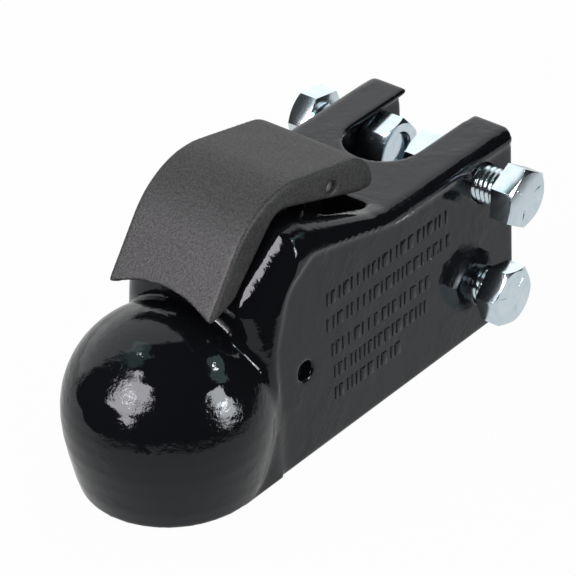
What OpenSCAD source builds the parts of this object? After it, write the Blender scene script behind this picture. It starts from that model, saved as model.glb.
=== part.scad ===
// Trailer coupling head for a channel mount.
// The origin is the centre of the ball socket, +Y runs back to the mounting ears, +Z is up.

/* [Ball socket] */
// Diameter of the tow ball that the socket takes
ball_d = 58.74; // [50:0.01:62]
// Radial play between the ball and the socket
ball_play = 0.6; // [0.3:0.1:1]
// Outer radius of the dome over the ball
dome_r = 43.5; // [42:0.5:46]
// Outer radius of the rim at the foot of the dome
rim_r = 38; // [37:0.5:41]
// Depth of the foot of the casting below the ball centre
foot_depth = 33; // [31:0.5:36]

/* [Casting] */
// Overall width across the two cheeks
body_w = 76; // [74:0.5:80]
// Distance from the ball centre to the rear face of the ears
body_rear = 177; // [174:1:190]
// Height of the flat top above the ball centre
body_top = 55.5; // [54:0.5:58]
// Height of the hump under the handle
hump_top = 73; // [71:0.5:74]
// Thickness of the top flange
flange_t = 10; // [7:0.5:13]
// Thickness of the lip along the top of each ear
lip_t = 3.4; // [2.5:0.1:3.6]
// Share of the overall width that each ear fills behind the flange
ear_share = 0.217; // [0.19:0.001:0.23]
// Width of the slot in the top flange between the ears
slot_w = 35.4; // [32:0.2:38]
// Distance from the ball centre to the closed end of that slot
slot_front = 122; // [118:1:128]
// Depth of the flat panel sunk into each cheek
panel_depth = 0.8; // [0.6:0.1:1.6]
// Thickness of the wall behind the wedge
bulkhead_t = 9; // [6:1:12]

/* [Mounting bolts] */
// Diameter of the mounting bolts
bolt_d = 15.875; // [12:0.005:16]
// Length of a bolt under its head
bolt_len = 38.1; // [36:0.1:42]
// Vertical distance between the two bolts
bolt_pitch = 50.8; // [48:0.1:52]
// Height of the upper bolt above the ball centre
bolt_upper_z = 38.1; // [36:0.1:39]
// Distance from the ball centre back to the bolts
bolt_y = 157.7; // [150:0.1:158]
// Radial clearance of a bolt in its hole
bolt_clear = 0.4; // [0.3:0.05:0.8]
// Width across flats of the heads and nuts
hex_af = 23.8; // [22:0.1:24]
// Height of a bolt head
head_h = 9.9; // [8:0.1:11]
// Height of a nut
nut_h = 13.9; // [11:0.1:14.5]
// Thickness of a split lock washer
lock_washer_t = 4; // [3:0.1:4.5]
// Gap that the near upper head leaves beside the cheek for the drawbar channel
upper_standoff = 11.5; // [8:0.5:13]
// Gap that the near lower head leaves beside the cheek
lower_standoff = 4.3; // [3:0.1:8]
// Gap that the far heads leave beside the far cheek
far_standoff = 10; // [6:0.5:12]

/* [Handle] */
// Overall width of the handle cover
cover_w = 53; // [51:0.5:54]
// Thickness of the skin of the cover
cover_skin = 3; // [2.5:0.1:3.2]
// Thickness of the side flanges of the cover
cover_flange = 4; // [3:0.1:4.5]
// Distance from the ball centre back to the handle pin
handle_pin_y = 73.5; // [73:0.1:74]
// Height of the handle pin above the ball centre
handle_pin_z = 73.9; // [73.5:0.1:74.5]
// Diameter of the handle pin
handle_pin_d = 5; // [4:0.5:6]
// Width of the steel lever over its fork
lever_w = 22; // [20:0.5:23]
// Thickness of each side of the fork
fork_t = 4.4; // [3.5:0.1:4.6]
// Thickness of the plate of the lever under the cover
lever_t = 4; // [3:0.5:4.5]
// Share of the room between the lever and the cover that each lug fills
lug_share = 0.58; // [0.4:0.02:0.7]
// Thickness of the spacer between the lever and a lug
spacer_t = 1; // [0.8:0.1:1.4]

/* [Jaw and wedge] */
// Distance from the ball centre back to the jaw pin
jaw_pin_y = 40.6; // [40:0.1:41]
// Height of the jaw pin above the ball centre
jaw_pin_z = 8.7; // [8:0.1:9.5]
// Diameter of the jaw pin
jaw_pin_d = 8.5; // [8:0.5:10.5]
// Width of the jaw
jaw_w = 28; // [24:0.5:30]
// Width of the wedge behind the jaw
wedge_w = 20; // [18:0.5:22]
// Thickness of the wedge from front to back
wedge_t = 12; // [10:0.5:13]
// Width of the neck of the wedge between the sides of the fork
neck_w = 10; // [8:0.5:11]
// Diameter of the pin through the neck of the wedge
wedge_pin_d = 6; // [5:0.5:6.5]

/* [Fits] */
// Gap between pieces that slide or swing past each other
gap = 0.3; // [0.2:0.05:0.5]
// Radial play of a pin in its bore
pin_play = 0.05; // [0.03:0.01:0.08]

/* [Hidden] */
$fn = 48;
casting_black = "#141516";
cover_black = "#2b2c2e";
zinc = "#c9ced2";
steel = "#8d9196";
eps = 0.02;
seat_play = 0.02;
over = 1;

half_w = body_w / 2;
foot_z = -foot_depth;
socket_r = ball_d / 2 + ball_play;
bolt_r = bolt_d / 2;
bolt_lower_z = bolt_upper_z - bolt_pitch;
handle_pin_r = handle_pin_d / 2;
jaw_pin_r = jaw_pin_d / 2;
wedge_pin_r = wedge_pin_d / 2;
hull_fn = 28;
round_fn = 96;

// Outline helpers. A corner is [y, z, radius].
function unit(v) = v / norm(v);
function turn_of(a, b) = acos(max(-1, min(1, a * b)));
function corner_arc(p, q, s, steps = 6) =
    let (
        u = unit([p[0] - q[0], p[1] - q[1]]),
        v = unit([s[0] - q[0], s[1] - q[1]]),
        half_angle = turn_of(u, v) / 2,
        reach = q[2] / tan(half_angle),
        centre = [q[0], q[1]] + unit(u + v) * q[2] / sin(half_angle),
        from = [q[0], q[1]] + u * reach - centre,
        to = [q[0], q[1]] + v * reach - centre,
        sweep = 180 - 2 * half_angle,
        side = from[0] * to[1] - from[1] * to[0] > 0 ? 1 : -1
    )
    q[2] == 0 ? [[q[0], q[1]]] :
    [for (i = [0:steps]) let (a = side * sweep * i / steps)
        centre + [from[0] * cos(a) - from[1] * sin(a), from[0] * sin(a) + from[1] * cos(a)]];
function rounded(corners, steps = 6) = [
    for (i = [0:len(corners) - 1])
        each corner_arc(
            corners[(i + len(corners) - 1) % len(corners)],
            corners[i],
            corners[(i + 1) % len(corners)],
            steps
        )
];

function point(c) = [c[0], c[1]];
function inset_corner(p, q, s, t) =
    let (d = unit(q - p), e = unit(s - q), m = [d[1], -d[0]], n = [e[1], -e[0]])
    q + (m + n) * t / (1 + m * n);

// A side profile drawn in Y and Z, made w wide across X
module slab(w) {
    rotate([90, 0, 90]) linear_extrude(w, center = true) children();
}
module cross_rod(y, z, r, w) {
    translate([-w / 2, y, z]) rotate([0, 90, 0]) cylinder(r = r, h = w);
}

// Casting
hump_rear = 97;
hump_crest = 47;
hump_flat = 9;
hump_run = 8;
hump_lead = 1.5;
edge_r = 4.5;
hump_r = 11;
nose_front = 13;
nose_r = 16;
nose_drop = 30;
nose_z = hump_top - nose_drop;
nose_foot_r = 8;
nose_foot_h = foot_depth + 6;
foot_blend_h = 20;
foot_blend_rear = 30;
clip_t = 1.2;
well_r = 28.2;
well_w = cover_w + 2 * gap + 1;
well_start = 66;
well_floor = 48.5;
wedge_y = 52;
wedge_rear = wedge_y + wedge_t;
channel_rear = wedge_rear + gap;
cavity_y = channel_rear + bulkhead_t;
cavity_half = half_w - ear_share * body_w;
well_drop = 5;
lever_slot_w = lever_w + 2;
lug_x = lever_w / 2 + spacer_t + 2 * gap;
lug_t = lug_share * (cover_w / 2 - cover_flange - clip_t - lug_x);
lug_r = 5.8;
clip_w = 2.6;
lug_base_z = well_floor - 8;
lug_front = 12;
lug_back = 5;
jaw_space_front = 10;
jaw_space_top = 26;
jaw_space_h = foot_depth + jaw_space_top;
channel_lead = 8;
lever_slot_front = 38;
lever_slot_floor = 36;

module station(y, z, r) {
    for (side = [-1, 1])
        translate([side * (half_w - r), y, z - r]) rotate([90, 0, 0])
            cylinder(r = r, h = eps, center = true, $fn = hull_fn);
    translate([-half_w, y - eps / 2, foot_z]) cube([body_w, eps, 1]);
}
module nose_station() {
    for (side = [-1, 1]) {
        translate([side * (half_w - nose_r), nose_front + nose_r, nose_z])
            sphere(r = nose_r, $fn = hull_fn);
        translate([side * (half_w - nose_foot_r), nose_front + nose_foot_r, foot_z])
            cylinder(r = nose_foot_r, h = nose_foot_h, $fn = hull_fn);
    }
}
module body_block() {
    hull() {
        station(body_rear, body_top, edge_r);
        station(hump_rear, body_top, edge_r);
    }
    hull() {
        station(hump_rear, body_top, edge_r);
        station(hump_rear - hump_run, body_top + hump_lead, edge_r + 1);
    }
    hull() {
        station(hump_rear - hump_run, body_top + hump_lead, edge_r + 1);
        station(hump_crest, hump_top, hump_r);
    }
    hull() {
        station(hump_crest, hump_top, hump_r);
        station(hump_crest - hump_flat, hump_top, hump_r);
    }
    hull() {
        station(hump_crest - hump_flat, hump_top, hump_r);
        nose_station();
    }
}
// The dome's wall runs down from the ball centre and draws in to the rim. Each step is [depth, radius].
skirt = [
    [0.24 * foot_depth, dome_r - 0.4], [0.48 * foot_depth, dome_r - 1.6], [foot_depth - 7, rim_r + 2],
    [foot_depth - 2.5, rim_r + 0.8], [foot_depth - 0.4, rim_r + 0.3], [foot_depth, rim_r - 0.2]
];
// Fills the corner between the rim of the dome and the cheeks
module foot_blend() {
    hull() {
        translate([0, 0, foot_z]) cylinder(r = rim_r, h = foot_blend_h);
        translate([-half_w, foot_blend_rear, foot_z]) cube([body_w, 1, foot_blend_h]);
    }
}
module dome() {
    rotate_extrude($fn = round_fn) polygon(concat(
        [[0, foot_z]],
        [for (a = [0:7.5:90]) [dome_r * sin(a), dome_r * cos(a)]],
        [for (step = skirt) [step[1], -step[0]]]
    ));
}
module ball_void() {
    sphere(r = socket_r, $fn = round_fn);
    translate([0, 0, foot_z - over]) cylinder(r = socket_r, h = foot_depth + over, $fn = round_fn);
}
rim_w = 7;
panel_front = nose_front + 10;
panel_corners = [
    [body_rear + over, foot_z - over, 0], [body_rear + over, body_top - rim_w, 0],
    [hump_rear + 4, body_top - rim_w, 10], [hump_crest, hump_top - 12, 9],
    [panel_front + 8, hump_top - 22, 16], [panel_front, nose_z - 17, 10],
    [panel_front, foot_z - over, 0]
];
module cheek_panels() {
    for (side = [-1, 1]) translate([side * (half_w + over - panel_depth), 0, 0])
        slab(2 * over) polygon(rounded(panel_corners));
}
module jaw_space() {
    jaw_space_w = jaw_w + 2;
    translate([-jaw_space_w / 2, jaw_space_front, foot_z - over])
        cube([jaw_space_w, channel_rear - jaw_space_front, jaw_space_h + over]);
}
module wedge_channel() {
    channel_w = wedge_w + 2 * gap;
    channel_front = wedge_y - channel_lead;
    translate([-channel_w / 2, channel_front, foot_z - over])
        cube([channel_w, channel_rear - channel_front, foot_depth + hump_top + 2 * over]);
}
module lever_slot() {
    translate([-lever_slot_w / 2, lever_slot_front, lever_slot_floor])
        cube([lever_slot_w, well_start + over - lever_slot_front, hump_top]);
}
module handle_well() {
    intersection() {
        cross_rod(handle_pin_y, handle_pin_z, well_r, well_w);
        translate([-well_w / 2, well_start, well_floor]) cube([well_w, 2 * well_r, 2 * well_r]);
    }
}
module handle_lugs() {
    for (side = [-1, 1]) translate([side * (lug_x + lug_t / 2), 0, 0]) slab(lug_t) {
        translate([handle_pin_y, handle_pin_z]) circle(r = lug_r);
        polygon([
            [handle_pin_y - lug_front, lug_base_z], [handle_pin_y + lug_back, lug_base_z],
            [handle_pin_y + lug_r, handle_pin_z], [handle_pin_y - lug_r, handle_pin_z]
        ]);
    }
}
module rear_hollow() {
    hollow_h = foot_depth + body_top - flange_t;
    translate([-cavity_half, cavity_y, foot_z - over])
        cube([2 * cavity_half, body_rear - cavity_y + over, hollow_h - well_drop + over]);
    translate([-cavity_half, hump_rear + well_drop, foot_z - over])
        cube([2 * cavity_half, body_rear - hump_rear + over, hollow_h + over]);
    translate([-cavity_half, slot_front + slot_w / 2, foot_z])
        cube([2 * cavity_half, body_rear - slot_front + over, foot_depth + body_top - lip_t]);
}
module flange_slot() {
    slot_r = slot_w / 2;
    translate([0, slot_front + slot_r, 0]) {
        cylinder(r = slot_r, h = body_top + over);
        translate([-slot_r, 0, 0]) cube([slot_w, body_rear, body_top + over]);
    }
}
module housing() {
    color(casting_black) difference() {
        union() {
            difference() {
                union() {
                    body_block();
                    dome();
                    foot_blend();
                }
                handle_well();
                cheek_panels();
            }
            handle_lugs();
        }
        ball_void();
        jaw_space();
        wedge_channel();
        lever_slot();
        rear_hollow();
        flange_slot();
        cross_rod(handle_pin_y, handle_pin_z, handle_pin_r + pin_play, body_w);
        cross_rod(jaw_pin_y, jaw_pin_z, jaw_pin_r + pin_play, body_w + 2 * over);
        for (z = [bolt_upper_z, bolt_lower_z])
            cross_rod(bolt_y, z, bolt_r + bolt_clear, body_w + 2 * over);
    }
}

// Handle cover
cover_top = [
    [-3, 49.6, 1.2], [29.9, 93.1, 40], [98.6, 78, 16], [99.6, 62, 3]
];
cover_under = [[90, 63.2, 8], [40.6, 79.9, 10], [13.4, 52.6, 6], [0, 48.6, 2]];
front_slope = atan((cover_top[1][1] - cover_top[0][1]) / (cover_top[1][0] - cover_top[0][0]));
arch_rise = 7.3;
arch_r = (pow(cover_w / 2, 2) + pow(arch_rise, 2)) / (2 * arch_rise);
arch_reach = 30;
corner_steps = 12;
module cover_outline() {
    polygon(rounded(concat(cover_top, cover_under), corner_steps));
}
module cover_hollow() {
    t = cover_skin;
    front = point(cover_top[0]);
    crest = inset_corner(front, point(cover_top[1]), point(cover_top[2]), t);
    tail = inset_corner(point(cover_top[1]), point(cover_top[2]), point(cover_top[3]), t);
    tip = crest - unit(point(cover_top[1]) - front) * 2 * norm(point(cover_top[1]) - front);
    polygon(rounded([
        [tip[0], tip[1], 0], [crest[0], crest[1], cover_top[1][2] - t],
        [tail[0], tail[1], cover_top[2][2] - t], [tail[0] + 1, cover_top[0][1] - arch_reach, 0]
    ], corner_steps));
}
// Cuts the front edge of the cover to an arch, square to its sloping face
module front_arch() {
    translate([0, cover_top[0][0], cover_top[0][1]]) rotate([front_slope, 0, 0])
        translate([0, arch_rise - arch_r, -arch_reach])
            cylinder(r = arch_r, h = 2 * arch_reach, $fn = round_fn);
}
module handle_cover() {
    color(cover_black) difference() {
        slab(cover_w) cover_outline();
        slab(cover_w - 2 * cover_flange) cover_hollow();
        front_arch();
        cross_rod(handle_pin_y, handle_pin_z, handle_pin_r + pin_play, cover_w + 2 * over);
        for (y = screw_y) cover_screw_at(y)
            cylinder(r = screw_r + pin_play, h = lever_t + 2 * gap + screw_bite);
    }
}

// Lever and what it carries
pin_reach = 23.5;
pin_drop = 14;
slot_reach = 20.5;
slot_drop = 12.3;
slot_play = 1.2;
pin_at = [handle_pin_y - pin_reach, handle_pin_z - pin_drop];
slot_end = [handle_pin_y - slot_reach, handle_pin_z - slot_drop];
slot_r = wedge_pin_r + slot_play;
eye_r = slot_r + 3;
bite = 0.6;
boss_r = 5.8;
top_slope = (cover_top[2][1] - cover_top[1][1]) / (cover_top[2][0] - cover_top[1][0]);
function skin_under(y) =
    cover_top[1][1] + top_slope * (y - cover_top[1][0]) - cover_skin * norm([1, top_slope]);
plate_front = pin_at[0] - eye_r;
tail_reach = 17;
tail_drop = 8;
tail_y = handle_pin_y + tail_reach;
tail_z = handle_pin_z - tail_drop;
tail_seat_l = 16;
module circle_at(p, r) {
    translate(p) circle(r = r);
}
// The plate of the lever follows the hollow of the cover
module lever_outline() {
    circle_at(pin_at, eye_r);
    circle_at(slot_end, eye_r);
    intersection() {
        offset(delta = -gap) cover_hollow();
        polygon([
            [pin_at[0], pin_at[1] - eye_r + bite], [handle_pin_y, handle_pin_z - boss_r - bite],
            [tail_y - tail_seat_l, tail_z], [tail_y, tail_z], [tail_y, cover_top[1][1]],
            [plate_front, cover_top[1][1]], [plate_front, pin_at[1]]
        ]);
    }
}
module lever_inside() {
    difference() {
        intersection() {
            offset(delta = -gap - lever_t) cover_hollow();
            translate([0, foot_z]) square([tail_y - tail_seat_l, cover_top[1][1] + foot_depth]);
        }
        circle_at([handle_pin_y, handle_pin_z], boss_r);
    }
}
module wedge_pin_slot() {
    run = slot_end - pin_at;
    reach = norm(run) + slot_r;
    round_r = slot_r - eps;
    slab(lever_w + 2 * over) translate(pin_at) rotate(atan2(run[1], run[0]))
        polygon(rounded([
            [-slot_r, -slot_r, round_r], [reach, -slot_r, round_r],
            [reach, slot_r, round_r], [-slot_r, slot_r, round_r]
        ]));
}
screw_y = [57.2, 64.2];
screw_r = 2;
screw_head_r = 3.4;
screw_head_h = 2.2;
screw_bite = 1.8;
module cover_screw_at(y) {
    plate_under = skin_under(y) - (gap + lever_t) * norm([1, top_slope]) - seat_play;
    translate([0, y, plate_under]) rotate([atan(top_slope), 0, 0]) children();
}
module handle_lever() {
    color(steel) difference() {
        slab(lever_w) lever_outline();
        slab(lever_w - 2 * fork_t) lever_inside();
        wedge_pin_slot();
        cross_rod(handle_pin_y, handle_pin_z, handle_pin_r + pin_play, lever_w + 2 * over);
        for (y = screw_y) cover_screw_at(y) translate([0, 0, -over])
            cylinder(r = screw_r + pin_play, h = lever_t + 2 * over);
    }
}
pin_half = cover_w / 2 - 2;
module handle_pin() {
    color(steel) cross_rod(handle_pin_y, handle_pin_z, handle_pin_r, 2 * pin_half);
}
module ring(x, t, inner_r, outer_r) {
    translate([x, handle_pin_y, handle_pin_z]) rotate([0, 90, 0]) difference() {
        cylinder(r = outer_r, h = t);
        translate([0, 0, -over]) cylinder(r = inner_r, h = t + 2 * over);
    }
}
module pin_clip(side) {
    x = lug_x + lug_t + gap / 3;
    color(zinc) ring(side > 0 ? x : -x - clip_t, clip_t, handle_pin_r + pin_play, handle_pin_r + clip_w);
}
module spacer(side) {
    x = lever_w / 2 + gap;
    color(zinc) ring(side > 0 ? x : -x - spacer_t, spacer_t, handle_pin_r + pin_play, boss_r);
}

// Jaw
// Its front is hollowed to the ball between two angles below the horizontal
jaw_face_r = ball_d / 2 + gap;
jaw_floor = foot_z + 5;
jaw_toe = 6;
face_from = 12;
face_to = asin(-(jaw_floor + jaw_toe) / jaw_face_r);
face_steps = 6;
heel_r = 9;
module jaw_outline() {
    toe_y = jaw_face_r * cos(face_to) + 1.2;
    polygon(concat(
        [for (i = [0:face_steps]) let (a = face_from + (face_to - face_from) * i / face_steps)
            jaw_face_r * [cos(a), -sin(a)]],
        rounded([
            [toe_y, jaw_floor, 2], [wedge_y - 6, jaw_floor, 5], [wedge_y + wedge_cut_y, -11, 2],
            [wedge_y - gap, 5, 3], [wedge_y - gap - 1, jaw_pin_z + 6, 5],
            [jaw_pin_y, jaw_pin_z + heel_r + 2, 6], [jaw_pin_y - heel_r, jaw_pin_z + heel_r, 4]
        ])
    ));
}
module jaw() {
    color(steel) difference() {
        slab(jaw_w) jaw_outline();
        cross_rod(jaw_pin_y, jaw_pin_z, jaw_pin_r + pin_play, body_w);
    }
}
jaw_pin_inset = 8;
jaw_pin_half = half_w - jaw_pin_inset;
module jaw_pin() {
    color(steel) cross_rod(jaw_pin_y, jaw_pin_z, jaw_pin_r, 2 * jaw_pin_half);
}

// Wedge
wedge_foot = -8;
wedge_cut_y = 5.6;
wedge_cut_z = 6;
wedge_top = pin_at[1] - 22;
neck_foot = pin_at[1] - 14;
neck_back = wedge_rear - 3;
eye_reach = 5;
module lock_wedge() {
    color(steel) difference() {
        union() {
            slab(wedge_w) polygon(rounded([
                [wedge_rear, wedge_foot, 1], [wedge_rear, wedge_top, 1], [wedge_y, wedge_top, 1],
                [wedge_y, wedge_cut_z, 1], [wedge_y + wedge_cut_y + gap, wedge_foot, 1]
            ]));
            slab(neck_w) polygon(rounded([
                [pin_at[0] - eye_reach, neck_foot, 2], [wedge_y + 1, wedge_top - 2, 0],
                [neck_back, wedge_top - 2, 0], [neck_back, pin_at[1] + 2, 3],
                [pin_at[0] - eye_reach, pin_at[1] + eye_reach, 4]
            ]));
        }
        cross_rod(pin_at[0], pin_at[1], wedge_pin_r + pin_play, wedge_w);
    }
}
module wedge_pin() {
    color(zinc) cross_rod(pin_at[0], pin_at[1], wedge_pin_r, lever_w - 1);
}

// Handle return spring
spring_lead = 2.2;
spring_y = tail_y - tail_seat_l + spring_lead;
spring_r = 3.4;
wire_r = 0.6;
spring_turns = 6;
wire_sides = 8;
steps_per_turn = 12;
spring_foot = well_floor + wire_r + seat_play;
spring_head = tail_z - wire_r - seat_play;
closed_turns = 0.75;
function coil_height(turn) =
    let (run = max(0, min(1, (turn - closed_turns) / (spring_turns - 2 * closed_turns))))
    spring_foot + run * (spring_head - spring_foot);
module handle_spring() {
    rings = spring_turns * steps_per_turn;
    points = [
        for (i = [0:rings]) let (a = 360 * i / steps_per_turn, z = coil_height(i / steps_per_turn))
            for (j = [0:wire_sides - 1]) let (b = 360 * j / wire_sides, r = spring_r + wire_r * cos(b))
                [r * cos(a), spring_y + r * sin(a), z + wire_r * sin(b)]
    ];
    sides = [
        for (i = [0:rings - 1], j = [0:wire_sides - 1]) let (
            k = i * wire_sides,
            next = (j + 1) % wire_sides
        ) [k + j, k + wire_sides + j, k + wire_sides + next, k + next]
    ];
    start = [[for (j = [0:wire_sides - 1]) j]];
    finish = [[for (j = [wire_sides - 1:-1:0]) rings * wire_sides + j]];
    color(zinc) polyhedron(points, concat(sides, start, finish));
}
module cover_screws() {
    color(zinc) for (y = screw_y) cover_screw_at(y) {
        translate([0, 0, -screw_head_h]) cylinder(r = screw_head_r, h = screw_head_h);
        cylinder(r = screw_r, h = lever_t + gap + screw_bite);
    }
}

// Mounting fasteners. Each ear has two bolts of its own, with their nuts between the ears.
hex_corner_r = hex_af / sqrt(3);
chamfer_r = hex_af / 2 - 0.3;
chamfer_h = (hex_corner_r - chamfer_r) * tan(30);
lead_in = 1;
upper_head_turn = 57;
lower_head_turn = 17;
far_upper_head_turn = 20;
far_lower_head_turn = 25;
upper_nut_turn = 51;
lower_nut_turn = 20;
far_upper_nut_turn = 39;
far_lower_nut_turn = 8;
module chamfered_hex(h, both) {
    intersection() {
        cylinder(r = hex_corner_r, h = h, $fn = 6);
        rotate_extrude($fn = round_fn) polygon([
            [0, 0], [both ? chamfer_r : hex_corner_r, 0], [hex_corner_r, both ? chamfer_h : 0],
            [hex_corner_r, h - chamfer_h], [chamfer_r, h], [0, h]
        ]);
    }
}
module bolt(side, z, standoff, turn) {
    head_x = side * (half_w + standoff);
    color(zinc) translate([head_x, bolt_y, z]) rotate([turn, 0, 0]) rotate([0, side * 90, 0]) {
        chamfered_hex(head_h, false);
        translate([0, 0, lead_in - bolt_len]) cylinder(r = bolt_r, h = bolt_len - lead_in);
        translate([0, 0, -bolt_len]) cylinder(r1 = bolt_r - lead_in, r2 = bolt_r, h = lead_in);
    }
}
module nut(z, x, turn) {
    color(zinc) translate([x, bolt_y, z]) rotate([turn, 0, 0]) rotate([0, 90, 0]) difference() {
        chamfered_hex(nut_h, true);
        translate([0, 0, -over]) cylinder(r = bolt_r + pin_play, h = nut_h + 2 * over);
    }
}
washer_w = 5;
washer_play = 0.2;
washer_split = 1.6;
washer_x = cavity_half - gap / 3 - lock_washer_t;
module lock_washer(z) {
    color(zinc) translate([washer_x, bolt_y, z]) rotate([0, 90, 0]) difference() {
        cylinder(r = bolt_r + washer_w, h = lock_washer_t);
        translate([0, 0, -over]) cylinder(r = bolt_r + washer_play, h = lock_washer_t + 2 * over);
        translate([0, -washer_split / 2, -over])
            cube([2 * bolt_d, washer_split, lock_washer_t + 2 * over]);
    }
}
near_nut_x = cavity_half - lock_washer_t - gap - nut_h;
far_nut_x = -cavity_half + gap / 3;

housing();
handle_cover();
handle_lever();
handle_pin();
pin_clip(-1);  // left_pin_clip
pin_clip(1);  // right_pin_clip
spacer(-1);  // left_spacer
spacer(1);  // right_spacer
handle_spring();
cover_screws();
jaw();
jaw_pin();
lock_wedge();
wedge_pin();
bolt(1, bolt_upper_z, upper_standoff, upper_head_turn);  // upper_bolt
bolt(1, bolt_lower_z, lower_standoff, lower_head_turn);  // lower_bolt
bolt(-1, bolt_upper_z, far_standoff, far_upper_head_turn);  // far_upper_bolt
bolt(-1, bolt_lower_z, far_standoff, far_lower_head_turn);  // far_lower_bolt
lock_washer(bolt_upper_z);  // upper_lock_washer
lock_washer(bolt_lower_z);  // lower_lock_washer
nut(bolt_upper_z, near_nut_x, upper_nut_turn);  // upper_nut
nut(bolt_lower_z, near_nut_x, lower_nut_turn);  // lower_nut
nut(bolt_upper_z, far_nut_x, far_upper_nut_turn);  // far_upper_nut
nut(bolt_lower_z, far_nut_x, far_lower_nut_turn);  // far_lower_nut
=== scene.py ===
"""Looks of the trailer coupling head: enamelled casting, moulded handle cover, plated bolts."""

from __future__ import annotations

import logging
import math
import random
from contextlib import contextmanager
from dataclasses import dataclass, field
from enum import Enum
from typing import Any, Callable, Iterator, Sequence

import bpy
from mathutils import Matrix, Quaternion, Vector

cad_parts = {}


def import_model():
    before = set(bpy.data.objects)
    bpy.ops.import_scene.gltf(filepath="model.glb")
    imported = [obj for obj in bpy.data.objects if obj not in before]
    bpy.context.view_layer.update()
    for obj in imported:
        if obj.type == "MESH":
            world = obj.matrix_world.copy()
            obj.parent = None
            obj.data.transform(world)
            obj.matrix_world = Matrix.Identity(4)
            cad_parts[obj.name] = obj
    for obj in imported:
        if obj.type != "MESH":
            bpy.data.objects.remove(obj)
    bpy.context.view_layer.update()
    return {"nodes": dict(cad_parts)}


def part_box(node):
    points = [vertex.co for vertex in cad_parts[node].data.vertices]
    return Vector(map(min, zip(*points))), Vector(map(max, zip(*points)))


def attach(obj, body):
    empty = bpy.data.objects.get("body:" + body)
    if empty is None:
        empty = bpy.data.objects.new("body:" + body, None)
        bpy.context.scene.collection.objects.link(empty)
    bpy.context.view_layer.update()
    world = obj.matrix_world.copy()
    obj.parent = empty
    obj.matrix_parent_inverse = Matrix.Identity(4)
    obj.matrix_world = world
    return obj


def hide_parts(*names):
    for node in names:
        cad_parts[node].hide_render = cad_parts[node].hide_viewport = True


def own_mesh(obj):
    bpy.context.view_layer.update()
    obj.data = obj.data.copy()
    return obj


log = logging.getLogger("coupling_head")
MM = 0.001
WELD = 0.01 * MM
FINE_WELD = 0.005 * MM
SMOOTHING = 0.5
LEAST_SHARE = 0.01
EDGE_ANGLE = math.radians(24)
EDGE_SEGMENTS = 2
ALL_SMOOTH = 180.0
WHITE = (1.0, 1.0, 1.0, 1.0)
Colour = tuple[float, float, float, float]
Triple = tuple[float, float, float]


class Body(Enum):
    """The rigid bodies that the pieces ride."""

    CASTING = "casting"
    HANDLE = "handle"
    WEDGE = "wedge"
    JAW = "jaw"


class Slot(Enum):
    """Names for the four finishes, which nothing here gives to a material."""

    PAINT = "casting_paint"
    PLASTIC = "cover_plastic"
    ZINC = "zinc_plate"
    STEEL = "bare_steel"


def deselect_all() -> None:
    """Leave object mode with nothing selected."""
    if bpy.context.object and bpy.context.object.mode != "OBJECT":
        bpy.ops.object.mode_set(mode="OBJECT")
    bpy.ops.object.select_all(action="DESELECT")


def pick(obj: bpy.types.Object) -> None:
    """Select one object alone and make it active."""
    deselect_all()
    obj.select_set(True)
    bpy.context.view_layer.objects.active = obj


def copy_of(source: bpy.types.Object, name: str) -> bpy.types.Object:
    """Copy an object with a mesh of its own.

    Args:
        source: The object to copy.
        name: The name of the copy.

    Returns:
        The copy, on no body yet.
    """
    pick(source)
    bpy.ops.object.duplicate()
    made = bpy.context.object
    made.parent = None
    made.matrix_world = Matrix.Identity(4)
    for key in list(made.keys()):
        del made[key]
    made.name = name
    made.data.name = name
    return made


def settle(obj: bpy.types.Object) -> None:
    """Put an object's place, turn and scale into its mesh."""
    pick(obj)
    bpy.ops.object.transform_apply(location=True, rotation=True, scale=True)


def apply_modifier(obj: bpy.types.Object, kind: str, **settings: Any) -> None:
    """Add a modifier, set it and apply it.

    Args:
        obj: The object to change.
        kind: Blender's name of the modifier's type.
        settings: The modifier's settings by name.
    """
    pick(obj)
    modifier = obj.modifiers.new(kind.title(), kind)
    for name, value in settings.items():
        setattr(modifier, name, value)
    bpy.ops.object.modifier_apply(modifier=modifier.name)


@contextmanager
def whole_mesh(obj: bpy.types.Object) -> Iterator[None]:
    """Open a mesh for editing with all of it selected, and close it again.

    Args:
        obj: The object whose mesh is edited.
    """
    pick(obj)
    bpy.ops.object.mode_set(mode="EDIT")
    bpy.ops.mesh.select_all(action="SELECT")
    yield
    bpy.ops.object.mode_set(mode="OBJECT")


def merge_points(obj: bpy.types.Object, distance: float) -> None:
    """Merge loose triangles into one skin and turn its faces outwards.

    Args:
        obj: The object to mend.
        distance: Points nearer than this are merged, in metres.
    """
    with whole_mesh(obj):
        bpy.ops.mesh.remove_doubles(threshold=distance)
        bpy.ops.mesh.normals_make_consistent(inside=False)


def join(parts: Sequence[bpy.types.Object], name: str) -> bpy.types.Object:
    """Join objects into the first of them.

    Args:
        parts: The objects to join.
        name: The name of the result.

    Returns:
        The joined object.
    """
    pick(parts[0])
    for part in parts[1:]:
        part.select_set(True)
    bpy.ops.object.join()
    made = bpy.context.object
    made.name = name
    made.data.name = name
    return made


def smooth_near(obj: bpy.types.Object, weight: Callable[[Vector], float], rounds: int) -> None:
    """Melt the corners of one region and leave the rest as it is.

    Args:
        obj: The piece, with small even faces.
        weight: How much a point melts, from 0 to 1.
        rounds: How often it is smoothed.
    """
    group = obj.vertex_groups.new(name="melt")
    for vertex in obj.data.vertices:
        share = weight(vertex.co)
        if share > LEAST_SHARE:
            group.add([vertex.index], share, "REPLACE")
    apply_modifier(obj, "SMOOTH", factor=SMOOTHING, iterations=rounds, vertex_group="melt")
    obj.vertex_groups.clear()


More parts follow.
